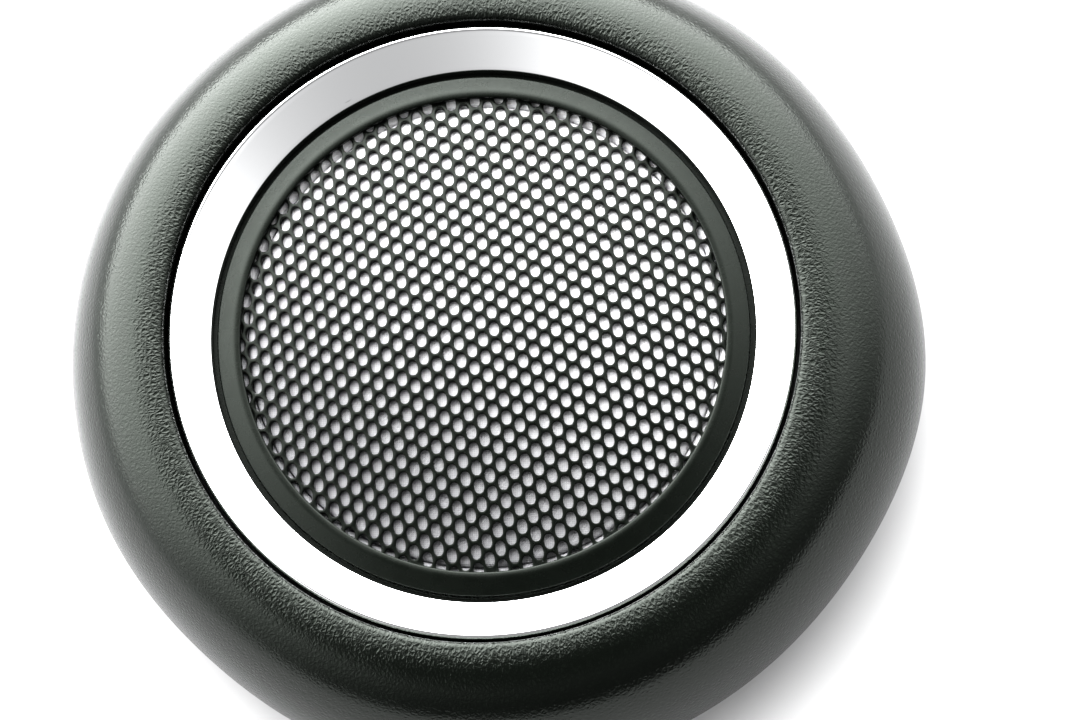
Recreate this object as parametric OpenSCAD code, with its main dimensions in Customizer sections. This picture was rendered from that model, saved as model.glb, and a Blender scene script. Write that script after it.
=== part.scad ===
// Car tweeter in a round leather-look trim pod.
// It lies face up: Z=0 is the plane of the three rear mounting feet, Z is the speaker axis,
// and the origin is where that axis meets the feet's plane.

/* [Pod] */
// Outer diameter at the rim
pod_d = 121.4; // [118:0.2:126]
// Diameter of the crest line, the highest circle of the skin
crest_d = 98.6; // [98:0.2:100]
// Height of the chrome ring's inner edge above the mounting feet
ring_z = 23.4; // [23.2:0.2:25]
// Height of the crest above the chrome ring's inner edge
crest_rise = 4.9; // [4.6:0.1:5.4]
// Drop of the rim's lower edge below the chrome ring's inner edge
rim_drop = 14.8; // [14:0.2:15.6]
// Thickness of the leather-look skin
skin_t = 1.1; // [0.9:0.1:1.2]
// Thickness of the soft foam under the skin
foam_t = 2.0; // [1.8:0.1:2.2]
// Wall thickness of the moulded carrier
shell_t = 2.2; // [1.8:0.1:2.4]

/* [Trim rings] */
// Outer diameter of the chrome ring
ring_od = 88.7; // [88.2:0.1:89]
// Inner diameter of the chrome ring
ring_id = 77.1; // [76.8:0.1:77.6]
// Rise of the chrome ring's lip above its inner edge
ring_rise = 3.3; // [2.8:0.1:3.6]
// Outer diameter of the bezel ring
bezel_od = 75.6; // [75:0.1:75.8]
// Inner diameter of the bezel ring
bezel_id = 68.8; // [68.4:0.1:69.2]

/* [Grille] */
// Sheet thickness of the grille
grille_t = 0.8; // [0.6:0.1:1]
// Rise of the grille's dome over its flat flange
grille_rise = 3.3; // [2.4:0.1:3.6]
// Distance between holes along a column
hole_pitch = 2.55; // [2.4:0.05:3]
// Distance between columns of holes
column_pitch = 1.72; // [1.6:0.02:2]
// Length of one hole
hole_l = 2.04; // [1.6:0.02:2.1]
// Width of one hole
hole_w = 1.42; // [1.1:0.02:1.46]
// Turn of the columns about the speaker axis, in degrees
hole_turn = 8.3; // [0:0.1:30]
// Shift of all holes along their columns
hole_shift = 0.83; // [0:0.01:1.25]

/* [Driver] */
// Outer diameter of the voice coil's former
former_d = 25.2; // [25:0.1:25.4]
// Height of the dome above its flange
dome_rise = 3.3; // [2.6:0.1:3.4]
// Outer diameter of the motor's steel cup
cup_d = 34; // [33.6:0.1:34.2]
// Outer diameter of the driver's housing and front plate
plate_d = 52; // [51:0.5:53]

/* [Mounting] */
// Circle of the three mounting screws
mount_pcd = 100; // [99:0.5:101]
// Pilot hole for each mounting screw
mount_pilot_d = 2.6; // [2.2:0.1:3.2]
// Depth of each pilot hole
mount_pilot_l = 10; // [8:1:12]

/* [Hidden] */

$fn = 96;
// Overlap that makes two solids of one piece fuse
eps = 0.05;
// Radial clearance between pieces that drop into each other
gap = 0.3;
// Turn by which a band runs past each end, so that neighbouring bands fuse
lap = 1.5;

// Colours
charcoal = [0.17, 0.18, 0.17];
foam_grey = [0.36, 0.36, 0.38];
abs_black = [0.08, 0.08, 0.09];
satin_black = [0.12, 0.13, 0.12];
chrome_white = [0.86, 0.87, 0.9];
mesh_black = [0.07, 0.08, 0.08];
cloth_white = [0.88, 0.88, 0.9];
steel = [0.62, 0.63, 0.66];
zinc = [0.74, 0.75, 0.78];
magnet_grey = [0.5, 0.51, 0.54];
copper = [0.76, 0.42, 0.22];
silk = [0.16, 0.14, 0.14];
brass = [0.8, 0.66, 0.3];
phenolic = [0.42, 0.25, 0.12];
capacitor_blue = [0.12, 0.2, 0.42];
wire_red = [0.62, 0.08, 0.07];
wire_black = [0.07, 0.07, 0.08];

// Pod profile: two arcs that share a tangent, from the crest out to the rim
pod_r = pod_d / 2;
crest_r = crest_d / 2;
crest_z = ring_z + crest_rise;
rim_z = ring_z - rim_drop;
rim_fillet = 1.6;
shoulder_turn = 55;
rim_turn = 83.3;
rim_end_r = pod_r - rim_fillet * (1 - sin(rim_turn));
rim_end_z = rim_z + rim_fillet * (1 + cos(rim_turn));
span_r = rim_end_r - crest_r;
span_z = crest_z - rim_end_z;
turn_r = sin(rim_turn) - sin(shoulder_turn);
turn_z = cos(shoulder_turn) - cos(rim_turn);
skirt_rho = (span_z - span_r * (1 - cos(shoulder_turn)) / sin(shoulder_turn))
    / (turn_z - turn_r * (1 - cos(shoulder_turn)) / sin(shoulder_turn));
crest_rho = (span_r - turn_r * skirt_rho) / sin(shoulder_turn);
crest_c = [crest_r, crest_z - crest_rho];
skirt_c = crest_c + (crest_rho - skirt_rho) * [sin(shoulder_turn), cos(shoulder_turn)];
rim_c = [rim_end_r, rim_end_z] - rim_fillet * [sin(rim_turn), cos(rim_turn)];

// Inner edge of the skin, tucked down beside the chrome ring
tuck_r = ring_od / 2 + 0.45;
tuck_fillet = 1.4;
land_turn = asin((crest_r - tuck_r - tuck_fillet) / (crest_rho - tuck_fillet));
tuck_c = crest_c + (crest_rho - tuck_fillet) * [-sin(land_turn), cos(land_turn)];
tuck_z = ring_z - 1.8;
fold_r = pod_r - 5.6;

// Carrier
foam_in = skin_t + foam_t;
shell_in = foam_in + shell_t;
foam_end_turn = 74;
seat_z = ring_z - 2.8;
seat_t = 2.2;
seat_r = bezel_od / 2 - 0.8;
collar_r = tuck_r + skin_t;
collar_in = crest_c + (crest_rho - shell_in) * [-sin(land_turn), cos(land_turn)];
collar_top = crest_c + (crest_rho - foam_in) * [-sin(land_turn), cos(land_turn)];

// Places around the axis, in degrees
foot_turns = [90, 210, 330];
arm_turns = [30, 150, 270];
post_turns = [0, 60, 120, 180, 240, 300];
rib_turns = [for (i = [0:23]) if (i % 4 != 2) i * 15];
foot_d = 8;
foot_top = 18;
arm_r = 42.4;
post_r = 41.3;
tower_r = 51.5;

// Trim stack, from the bezel's lip down to the cloth
lip_z = ring_z - 0.5;
flange_z = lip_z - grille_t;
flange_r = bezel_od / 2 - 1.2;
sleeve_z = seat_z - seat_t - 1.4;
sleeve_in_r = bezel_id / 2 - 0.8;
cloth_t = 0.4;
cloth_z = sleeve_z - cloth_t;
cloth_ring_z = cloth_z - 0.8;
foot_flange_z = ring_z - 1.8;

// Driver stack, from the bracket down to the motor
bracket_t = 1.8;
bracket_z = cloth_ring_z - 0.4 - bracket_t;
bracket_r = 45.6;
bracket_hole_r = 19.5;
gasket_t = 0.8;
plate_z = bracket_z - gasket_t;
plate_t = 2;
clamp_t = 0.3;
diaphragm_z = plate_z - plate_t - clamp_t;
housing_t = 1.6;
cup_top = diaphragm_z - housing_t;
cup_h = 8.4;
cup_z = cup_top - cup_h;
cup_base_t = 3;
pole_t = 2.2;
gap_r = cup_d / 2 - 3.4;
pole_r = former_d / 2 - 0.6;
former_r = former_d / 2;
former_t = 0.2;
coil_t = 0.45;
roll_r = 14.8;
roll_rho = 1.5;
roll_t = 0.3;
screw_ring_r = 23.2;

// Rear fittings
socket_turn = 90;
socket_r = 35;
socket_size = [15, 10, 9];
blade_spacing = 6.6;
blade_size = [0.8, 2.8];
cap_turn = 0;
cap_r = 33.8;
cap_d = 8;
cap_l = 13;
board_turn = 180;
board_r = 33;
wire_r = 0.8;
wire_z = bracket_z - 2.2 - cap_d / 2;
wire_path_r = 34.2;

// --- helpers ---

// A wedge of the RZ plane between two directions, in degrees from +Z towards +R
module wedge(from, to, reach)
    polygon([[0, 0], reach * [sin(from), cos(from)], reach * [sin(to), cos(to)]]);

// A band of an annulus about c, between two directions and a lap beyond each
module band(c, outer, inner, from, to)
    translate(c)
        intersection() {
            difference() {
                circle(r = outer);
                circle(r = inner);
            }
            wedge(from - lap, to + lap, 4 * outer);
        }

module ring(r_out, r_in, z, h)
    translate([0, 0, z])
        difference() {
            cylinder(r = r_out, h = h);
            translate([0, 0, -1]) cylinder(r = r_in, h = h + 2);
        }

module at(r, turns)
    for (a = turns) rotate([0, 0, a]) translate([r, 0, 0]) children();

// A pan-head screw whose head's seat is at z = 0, head below, with a cross recess
module pan_screw(head_d, head_h, shank_d, shank_l)
    difference() {
        union() {
            translate([0, 0, -head_h]) cylinder(d = head_d, h = head_h, $fn = 48);
            translate([0, 0, -eps]) cylinder(d = shank_d, h = shank_l + eps, $fn = 32);
        }
        for (a = [0, 90])
            rotate([0, 0, a])
                translate([-head_d * 0.3, -head_d * 0.07, -head_h - 1])
                    cube([head_d * 0.6, head_d * 0.14, 1 + head_h * 0.5]);
    }

// --- pod ---

module pod_skin() color(charcoal)
    rotate_extrude() {
        band(tuck_c, tuck_fillet, tuck_fillet - skin_t, -90, -land_turn);
        band(crest_c, crest_rho, crest_rho - skin_t, -land_turn, shoulder_turn);
        band(skirt_c, skirt_rho, skirt_rho - skin_t, shoulder_turn, rim_turn);
        band(rim_c, rim_fillet, rim_fillet - skin_t, rim_turn, 180);
        translate([fold_r, rim_z]) square([rim_c[0] - fold_r, skin_t]);
        translate([tuck_r, tuck_z]) square([skin_t, tuck_c[1] - tuck_z]);
    }

module foam_layer() color(foam_grey)
    rotate_extrude() {
        band(crest_c, crest_rho - skin_t, crest_rho - foam_in, 2 * lap - land_turn, shoulder_turn);
        band(skirt_c, skirt_rho - skin_t, skirt_rho - foam_in, shoulder_turn, foam_end_turn - lap);
    }

module carrier_profile() {
    band(crest_c, crest_rho - foam_in, crest_rho - shell_in, -land_turn, shoulder_turn);
    band(skirt_c, skirt_rho - foam_in, skirt_rho - shell_in, shoulder_turn, foam_end_turn);
    band(skirt_c, skirt_rho - skin_t, skirt_rho - shell_in, foam_end_turn + 2 * lap, rim_turn - lap);
    polygon([
        [collar_r, seat_z - seat_t], [collar_in[0], seat_z - seat_t], collar_in,
        collar_top, [collar_r, collar_top[1]]
    ]);
    translate([seat_r, seat_z - seat_t]) square([collar_r + eps - seat_r, seat_t]);
}

// One stiffening rib between the seat plate and the shell
module carrier_rib(t = 1.4) {
    mid = skirt_rho - shell_in + shell_t / 2;
    high = skirt_c + mid * [sin(62), cos(62)];
    low = skirt_c + mid * [sin(79), cos(79)];
    rotate([90, 0, 0])
        translate([0, 0, -t / 2])
            linear_extrude(t)
                polygon([
                    [collar_in[0] - 1.2, seat_z - seat_t + 0.4], [high[0], high[1]],
                    [low[0], low[1]], [collar_in[0] - 1.2, seat_z - seat_t - 4]
                ]);
}

module pod_carrier() color(abs_black)
    difference() {
        union() {
            rotate_extrude() carrier_profile();
            at(0, rib_turns) carrier_rib();
            at(mount_pcd / 2, foot_turns) cylinder(d = foot_d, h = foot_top, $fn = 64);
            at(arm_r, arm_turns)
                translate([0, 0, bracket_z + bracket_t])
                    cylinder(d = 6.4, h = seat_z - seat_t - bracket_z - bracket_t + eps, $fn = 48);
            at(tower_r, arm_turns) translate([-1.2, -4, 2]) cube([2.4, 8, 17]);
        }
        at(mount_pcd / 2, foot_turns)
            translate([0, 0, -1]) cylinder(d = mount_pilot_d, h = mount_pilot_l + 1, $fn = 48);
        at(arm_r, arm_turns)
            translate([0, 0, bracket_z]) cylinder(d = 2.4, h = seat_z - bracket_z - 0.8, $fn = 32);
        at(post_r, post_turns)
            translate([0, 0, seat_z - seat_t - 1]) cylinder(d = 3.2, h = seat_t + 2, $fn = 32);
    }

// Foam tape on the folded rim, cut once where its ends meet
module rim_gasket() color(foam_grey)
    rotate([0, 0, 15])
        translate([0, 0, rim_z - 1.2])
            rotate_extrude(angle = 358) translate([fold_r + 0.6, 0]) square([3, 1.2]);

// Sprung steel clips pushed over the carrier's three towers
module spring_clips() color(steel)
    at(tower_r, arm_turns)
        rotate([90, 0, 0])
            translate([0, 0, -3])
                linear_extrude(6)
                    difference() {
                        polygon([
                            [-1.9, 1.2], [1.9, 1.2], [3.9, 7], [1.9, 12],
                            [-1.9, 12], [-3.9, 7]
                        ]);
                        polygon([
                            [-1.55, 1.7], [1.55, 1.7], [3.4, 7], [1.4, 12.1],
                            [-1.4, 12.1], [-3.4, 7]
                        ]);
                    }

// --- trim rings ---

ring_lip = 0.6;
ring_lip_c = [ring_od / 2 - ring_lip, ring_z + ring_rise - ring_lip];
ring_in_r = ring_id / 2;

module chrome_ring() color(chrome_white)
    difference() {
        union() {
            rotate_extrude() {
                translate(ring_lip_c) circle(r = ring_lip);
                polygon([
                    [ring_in_r, foot_flange_z], [ring_in_r + 1.5, foot_flange_z],
                    [ring_in_r + 1.5, ring_z - 1], [ring_lip_c[0] - 0.6, ring_lip_c[1] - 1.6],
                    [ring_lip_c[0] - 0.6, foot_flange_z], [ring_od / 2, foot_flange_z],
                    [ring_od / 2, ring_lip_c[1]],
                    ring_lip_c + ring_lip * [-sin(31), cos(31)],
                    [ring_in_r + 0.25, ring_z], [ring_in_r, ring_z - 0.25]
                ]);
            }
            at(post_r, post_turns)
                translate([0, 0, seat_z]) cylinder(d = 4.2, h = ring_z - seat_z + 0.6, $fn = 32);
        }
        at(post_r, post_turns)
            translate([0, 0, seat_z - 1]) cylinder(d = 2, h = 3.4, $fn = 32);
    }

module bezel_ring() color(satin_black)
    rotate_extrude() {
        out_r = bezel_od / 2;
        in_r = bezel_id / 2;
        polygon([
            [out_r - 0.9, seat_z], [ring_in_r + 0.4, seat_z], [ring_in_r + 0.4, foot_flange_z],
            [out_r, foot_flange_z], [out_r, ring_z - 0.7], [out_r - 0.35, ring_z - 0.4],
            [out_r - 1.6, ring_z + 0.12], [in_r + 0.5, ring_z + 0.55],
            [in_r + 0.15, ring_z + 0.45], [in_r, ring_z + 0.2], [in_r, lip_z],
            [out_r - 0.9, lip_z]
        ]);
    }

// --- grille ---

grille_in_r = bezel_id / 2 - 0.4;
dome_rho = (grille_in_r * grille_in_r + grille_rise * grille_rise) / (2 * grille_rise);

// One elongated hexagonal hole
module hole() {
    polygon([
        [-hole_w / 2, -hole_l / 4], [0, -hole_l / 2], [hole_w / 2, -hole_l / 4],
        [hole_w / 2, hole_l / 4], [0, hole_l / 2], [-hole_w / 2, hole_l / 4]
    ]);
}

module grille_mesh() color(mesh_black)
    difference() {
        rotate_extrude($fn = 128) {
            intersection() {
                translate([0, lip_z + grille_rise - dome_rho])
                    difference() {
                        circle(r = dome_rho);
                        circle(r = dome_rho - grille_t);
                    }
                translate([0, flange_z]) square([grille_in_r, 2 * grille_rise]);
            }
            translate([grille_in_r - 0.4, flange_z]) square([flange_r - grille_in_r + 0.4, grille_t]);
        }
        reach = grille_in_r - hole_l / 2 - 0.4;
        columns = floor(reach / column_pitch);
        rows = ceil(reach / hole_pitch);
        rotate([0, 0, hole_turn])
            for (i = [-columns:columns], j = [-rows:rows]) {
                x = i * column_pitch;
                y = (j + (i % 2 == 0 ? 0 : 0.5)) * hole_pitch + hole_shift;
                if (norm([x, y]) < reach)
                    translate([x, y, flange_z - 1]) linear_extrude(grille_rise + 4) hole();
            }
    }

module grille_sleeve() color(abs_black)
    rotate_extrude()
        polygon([
            [sleeve_in_r, sleeve_z], [flange_r + 2, sleeve_z],
            [flange_r + 2, seat_z - seat_t], [flange_r, seat_z - seat_t],
            [flange_r, flange_z], [sleeve_in_r + 0.4, flange_z], [sleeve_in_r, flange_z - 0.4]
        ]);

module acoustic_cloth() color(cloth_white)
    translate([0, 0, cloth_z]) cylinder(r = flange_r + 1.4, h = cloth_t);

module cloth_ring() color(abs_black)
    ring(flange_r + 1.8, sleeve_in_r + 0.2, cloth_ring_z, cloth_z - cloth_ring_z);

module trim_screws() color(zinc)
    at(post_r, post_turns)
        translate([0, 0, seat_z - seat_t]) pan_screw(4.6, 1.5, 1.9, seat_t + 2.2);

// --- driver ---

module driver_bracket() color(abs_black)
    difference() {
        union() {
            ring(bracket_r, bracket_hole_r, bracket_z, bracket_t);
            at(0, [for (i = [0:11]) i * 30 + 15])
                translate([plate_d / 2 + 1.4, -0.7, bracket_z - 1.6])
                    cube([bracket_r - plate_d / 2 - 3, 1.4, 1.6 + eps]);
        }
        at(arm_r, arm_turns)
            translate([0, 0, bracket_z - 1]) cylinder(d = 3, h = bracket_t + 2, $fn = 32);
        at(screw_ring_r, foot_turns)
            translate([0, 0, bracket_z - 1]) cylinder(d = 2, h = bracket_t + 2, $fn = 32);
    }

module bracket_screws() color(zinc)
    at(arm_r, arm_turns)
        translate([0, 0, bracket_z]) pan_screw(5, 1.6, 2.3, bracket_t + 4);

module front_gasket() color(foam_grey)
    difference() {
        ring(plate_d / 2 - 0.2, bracket_hole_r + 0.4, plate_z, gasket_t);
        at(screw_ring_r, foot_turns)
            translate([0, 0, plate_z - 1]) cylinder(d = 3, h = gasket_t + 2, $fn = 32);
    }

module driver_faceplate() color(satin_black)
    difference() {
        rotate_extrude()
            polygon([
                [roll_r + roll_rho + 0.4, diaphragm_z + clamp_t], [18.8, diaphragm_z + clamp_t],
                [18.8, diaphragm_z], [plate_d / 2, diaphragm_z], [plate_d / 2, plate_z],
                [18.9, plate_z], [roll_r + roll_rho + 0.4, diaphragm_z + clamp_t + 0.9]
            ]);
        at(screw_ring_r, foot_turns)
            translate([0, 0, diaphragm_z - 1]) cylinder(d = 2.6, h = plate_t + 3, $fn = 32);
    }

module driver_housing() color(abs_black)
    difference() {
        rotate_extrude()
            polygon([
                [gap_r + 0.5, cup_top], [cup_d / 2 + gap, cup_top], [cup_d / 2 + gap, cup_top - 5],
                [cup_d / 2 + gap + 1.8, cup_top - 5], [cup_d / 2 + gap + 1.8, cup_top - 1.2],
                [cup_d / 2 + gap + 2.6, cup_top], [plate_d / 2, cup_top],
                [plate_d / 2, diaphragm_z], [roll_r + roll_rho + 0.2, diaphragm_z],
                [roll_r + roll_rho + 0.2, diaphragm_z - 0.9], [gap_r + 0.5, diaphragm_z - 0.9]
            ]);
        at(screw_ring_r, foot_turns)
            translate([0, 0, cup_top - 1]) cylinder(d = 2.6, h = housing_t + 2, $fn = 32);
    }

module driver_screws() color(zinc)
    at(screw_ring_r, foot_turns)
        translate([0, 0, cup_top])
            pan_screw(4.2, 1.4, 1.9, bracket_z + bracket_t - cup_top - 0.2);

// Half-roll edge between the dome and the clamped flange
module surround() color(silk)
    rotate_extrude() {
        translate([roll_r, diaphragm_z])
            intersection() {
                difference() {
                    circle(r = roll_rho);
                    circle(r = roll_rho - roll_t);
                }
                translate([-2 * roll_rho, 0]) square([4 * roll_rho, 2 * roll_rho]);
            }
        translate([roll_r + roll_rho - roll_t, diaphragm_z])
            square([18.6 - roll_r - roll_rho + roll_t, clamp_t]);
    }

module dome() color(silk)
    rotate_extrude() {
        base_r = former_r;
        rho = (base_r * base_r + dome_rise * dome_rise) / (2 * dome_rise);
        translate([0, diaphragm_z + clamp_t + dome_rise - rho])
            intersection() {
                difference() {
                    circle(r = rho, $fn = 192);
                    circle(r = rho - clamp_t, $fn = 192);
                }
                translate([0, rho - dome_rise - clamp_t]) square([base_r, 2 * dome_rise]);
            }
        translate([former_r - former_t - 0.3, diaphragm_z])
            square([roll_r - roll_rho - former_r + former_t + 0.3, clamp_t]);
    }

module voice_coil_former() color(brass)
    ring(former_r, former_r - former_t, diaphragm_z - 4.4, 4.4);

module voice_coil() color(copper)
    ring(former_r + coil_t, former_r, diaphragm_z - 4.2, 3);

module yoke_cup() color(zinc)
    rotate_extrude()
        polygon([
            [0, cup_z], [cup_d / 2 - 0.8, cup_z], [cup_d / 2, cup_z + 0.8], [cup_d / 2, cup_top],
            [gap_r, cup_top], [gap_r, cup_z + cup_base_t], [0, cup_z + cup_base_t]
        ]);

module magnet() color(magnet_grey)
    translate([0, 0, cup_z + cup_base_t])
        cylinder(r = pole_r - 0.6, h = cup_h - cup_base_t - pole_t);

module pole_plate() color(steel)
    translate([0, 0, cup_top - pole_t]) {
        cylinder(r = pole_r, h = pole_t - 0.3);
        translate([0, 0, pole_t - 0.3]) cylinder(r1 = pole_r, r2 = pole_r - 0.3, h = 0.3);
    }

module damping_felt() color(foam_grey)
    translate([0, 0, cup_top]) cylinder(r = pole_r - 2.6, h = 1.2);

// --- rear fittings ---

module board_place() rotate([0, 0, board_turn]) translate([board_r, 0, 0]) children();

module terminal_board() color(phenolic)
    board_place() translate([-3.5, -7, bracket_z - 1.4]) cube([7, 14, 1.4]);

module terminal_tabs() color(brass)
    board_place()
        for (y = [-3.8, 3.8])
            translate([0, y, bracket_z - 7.2])
                difference() {
                    translate([-0.4, -1.4, 0]) cube([0.8, 2.8, 5.8]);
                    translate([-1, 0, 1.6])
                        rotate([0, 90, 0]) cylinder(d = 1.2, h = 2, $fn = 24);
                }

module capacitor_place()
    rotate([0, 0, cap_turn]) translate([cap_r, 0, bracket_z - 2.2 - cap_d / 2])
        rotate([90, 0, 0]) children();

module crossover_capacitor() color(capacitor_blue)
    capacitor_place()
        translate([0, 0, -cap_l / 2]) {
            cylinder(d = cap_d, h = cap_l - 1.4, $fn = 64);
            translate([0, 0, cap_l - 1.4]) cylinder(d = cap_d - 0.5, h = 0.6, $fn = 64);
            translate([0, 0, cap_l - 0.8]) cylinder(d = cap_d, h = 0.8, $fn = 64);
        }

// Strap over the capacitor, with two pads on the bracket
module capacitor_strap() color(abs_black)
    capacitor_place() {
        translate([0, 0, -2])
            difference() {
                union() {
                    cylinder(d = cap_d + 2.4, h = 4, $fn = 64);
                    translate([-cap_d / 2 - 3.4, cap_d / 2 + 0.6, 0]) cube([cap_d + 6.8, 1.6, 4]);
                }
                translate([0, 0, -1]) cylinder(d = cap_d + 0.3, h = 6, $fn = 64);
            }
    }

module capacitor_leads() color(zinc)
    capacitor_place()
        for (end = [cap_l / 2, -cap_l / 2 - 2.4])
            translate([0, 0, end]) cylinder(d = 0.8, h = 2.4, $fn = 24);

module socket_place()
    rotate([0, 0, socket_turn - 90])
        translate([-socket_size[0] / 2, socket_r - socket_size[1] / 2, bracket_z - socket_size[2]])
            children();

module connector_socket() color(cloth_white)
    socket_place()
        difference() {
            union() {
                cube(socket_size);
                translate([4.5, socket_size[1] - eps, 2]) cube([6, 1.2, 4]);
            }
            translate([1.2, 1.2, -1])
                cube([socket_size[0] - 2.4, socket_size[1] - 2.4, socket_size[2] - 0.6]);
        }

module socket_pins() color(brass)
    socket_place()
        for (side = [-1, 1])
            translate([
                (socket_size[0] + side * blade_spacing - blade_size[0]) / 2,
                (socket_size[1] - blade_size[1]) / 2, 1.4
            ])
                cube([blade_size[0], blade_size[1], socket_size[2] - 3]);

// A wire run along a circle about the axis, between two directions
module wire_arc(from, to)
    translate([0, 0, wire_z])
        rotate([0, 0, from])
            rotate_extrude(angle = to - from, $fn = 192)
                translate([wire_path_r, 0]) circle(r = wire_r, $fn = 48);

module wire_positive() color(wire_red) wire_arc(15.2, 76.4);

module wire_link() color(wire_red) wire_arc(189.2, 344.8);

module wire_negative() color(wire_black) wire_arc(103.6, 170.8);

pod_skin();
foam_layer();
pod_carrier();
rim_gasket();
spring_clips();
chrome_ring();
bezel_ring();
grille_mesh();
grille_sleeve();
acoustic_cloth();
cloth_ring();
trim_screws();
driver_bracket();
bracket_screws();
front_gasket();
driver_faceplate();
driver_housing();
driver_screws();
surround();
dome();
voice_coil_former();
voice_coil();
yoke_cup();
magnet();
pole_plate();
damping_felt();
terminal_board();
terminal_tabs();
crossover_capacitor();
capacitor_strap();
capacitor_leads();
connector_socket();
socket_pins();
wire_positive();
wire_link();
wire_negative();
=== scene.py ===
"""The looks of the car tweeter: leather-look pod, chrome ring, satin bezel and pierced grille."""

import math

import bmesh
import bpy
import numpy as np
from mathutils import Matrix, Vector, noise


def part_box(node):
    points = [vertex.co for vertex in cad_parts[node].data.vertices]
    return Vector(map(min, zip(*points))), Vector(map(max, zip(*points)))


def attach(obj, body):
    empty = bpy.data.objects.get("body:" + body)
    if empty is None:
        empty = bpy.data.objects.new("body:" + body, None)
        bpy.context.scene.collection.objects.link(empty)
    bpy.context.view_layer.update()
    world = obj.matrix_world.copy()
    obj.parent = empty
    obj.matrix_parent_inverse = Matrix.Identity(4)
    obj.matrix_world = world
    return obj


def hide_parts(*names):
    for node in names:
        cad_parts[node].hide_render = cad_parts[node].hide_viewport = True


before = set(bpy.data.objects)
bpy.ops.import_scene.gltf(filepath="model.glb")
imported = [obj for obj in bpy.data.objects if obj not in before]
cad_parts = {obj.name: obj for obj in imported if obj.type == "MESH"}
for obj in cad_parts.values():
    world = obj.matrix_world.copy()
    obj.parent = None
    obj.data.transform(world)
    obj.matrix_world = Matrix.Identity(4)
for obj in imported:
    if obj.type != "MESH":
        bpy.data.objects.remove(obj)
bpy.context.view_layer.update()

MM = 0.001

# --- view ---

VIEW_AZIMUTH = math.radians(14.25)
VIEW_ELEVATION = math.radians(76.94)
VIEW_ROLL = math.radians(14.25)
VIEW_LENS = 121.46
VIEW_DISTANCE = 0.5135
AIM = Vector((0.00815, -0.00415, 0.0234))

# --- light, as radiance from each direction ---

WINDOW_AZIMUTH = math.radians(113)
WINDOW_ELEVATION = math.radians(12)
WINDOW_RADIANCE = 12.5
WINDOW_SPREAD = 2.6
ROOM_RADIANCE = 0.3

# The dark round the camera, from fully dark to clear, as angles from the camera's direction
SHADE_INNER = math.radians(19)
SHADE_OUTER = math.radians(41)

# --- the pod's outline, in mm ---

SKIN_T = 1.1
CREST_R = 49.3
CREST_PULL = 2.7
LAND_TILT = math.radians(3)
RIM_FILLET = 1.6
SHOULDER_TURN = math.radians(55)
RIM_TURN = math.radians(83.3)
TUCK_FILLET = 1.0
TUCK_GAP = 0.45
TUCK_START = 1.0
FOLD_W = 5.6
SKIN_SEGMENTS = 960

# Foam tape under the fold: its width and rounding, how far its surface wanders in and out, and
# where it starts and ends in degrees
TAPE_W = 3.0
TAPE_ROUNDING = 0.35
TAPE_SWELL = 0.10
TAPE_SHRINK = 0.06
TAPE_START, TAPE_END, TAPE_STEPS = 15, 373, 900

# The rim isn't quite round: each swell or flat has an azimuth and a half width in degrees, and
# how far it stands out of the circle, in mm
RIM_SHAPE = {
    "nose": (-3, 22, 2.2),
    "flat_upper_right": (72, 20, -0.8),
    "flat_upper_left": (130, 20, -0.7),
    "flat_lower_left": (228, 20, -1.1),
}

# How the leather's pebbles fade on the way out, as shares of the way from the tuck to the rim
GRAIN_FADE_START = 0.12
GRAIN_FADE_WIDTH = 0.17
GRAIN_FADE_LOSS = 0.62
GRAIN_INSIDE = 0.1

# Distance along the hide for each mm of outline: beside the tuck, and what is added further out
HIDE_RUN = 0.72
HIDE_RUN_GAIN = 0.15

# Painted shade on the cloth: its colour goes from dim to pale towards this side, over this distance
# each side of its middle
PAINTED_LIGHT_SIDE = (0.5, 0.87)
CLOTH_SHADE_FADE = 30.0

# The dark plastics' base colour, and the slight green cast of their gloss
SOFT_BLACK = (0.003, 0.004, 0.003)
GLOSS_TINT = (0.93, 1.0, 0.93, 1)

# --- trim rings, in mm ---

RING_RISE = 3.3
RING_IN_R = 77.1 / 2
RING_SLOPE = math.radians(33)
RING_FOOT_H = 1.8
RING_PLATE_T = 1.0
RING_CHAMFER = 0.1
LIP_R = 0.6
LIP_WALL_T = 0.6
LIP_UNDER = 1.6
INNER_LIP_R = 0.35
INNER_LIP_DROP = 0.3
INNER_FOOT_W = 1.5
POST_COUNT = 6
POST_R = 2.1
POST_RING_R = 41.3
POST_CHAMFER = 0.2
POST_SINK = 0.4
AXIS_GAP = 0.01

BEZEL_OUT_R = 75.6 / 2
BEZEL_IN_R = 68.8 / 2
BEZEL_RISE = 2.8
BEZEL_WALL_T = 0.9
BEZEL_LIP_T = 0.5
BEZEL_STEP_H = 1.8
BEZEL_EDGE_DROP = 0.42
BEZEL_CROWN = 0.55
BEZEL_CROWN_IN = 0.9
BEZEL_INNER_RISE = 0.5

# --- the grille's holes, in mm ---

HOLE_PITCH = 2.555
COLUMN_PITCH = 1.723
HOLE_LENGTH = 2.06
HOLE_WIDTH = 1.42
HOLE_TURN = math.radians(8.3)
HOLE_SHIFT = 0.83
HOLE_SQUARENESS = 2.35
HOLE_POINTS = 24
GRILLE_T = 0.8
GRILLE_RISE = 3.3
GRILLE_BORDER = 0.5
WELD_DISTANCE = 0.004
DOME_R = 34.0
DOME_RHO = (DOME_R**2 + GRILLE_RISE**2) / (2 * GRILLE_RISE)

# --- the cloth behind the grille, in mm ---

SLEEVE_IN_R = 33.6
CLOTH_T = 0.3
CLOTH_CLEAR = 0.12
CLOTH_BEND = 0.6
CLOTH_DROP = 0.8
CLOTH_FOOT = 0.5
CLOTH_STEPS = 90


def node_box(node):
    """Lowest and highest corners of a CAD node, in mm."""
    low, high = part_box(node)
    return low / MM, high / MM


# --- mesh helpers ---


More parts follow.
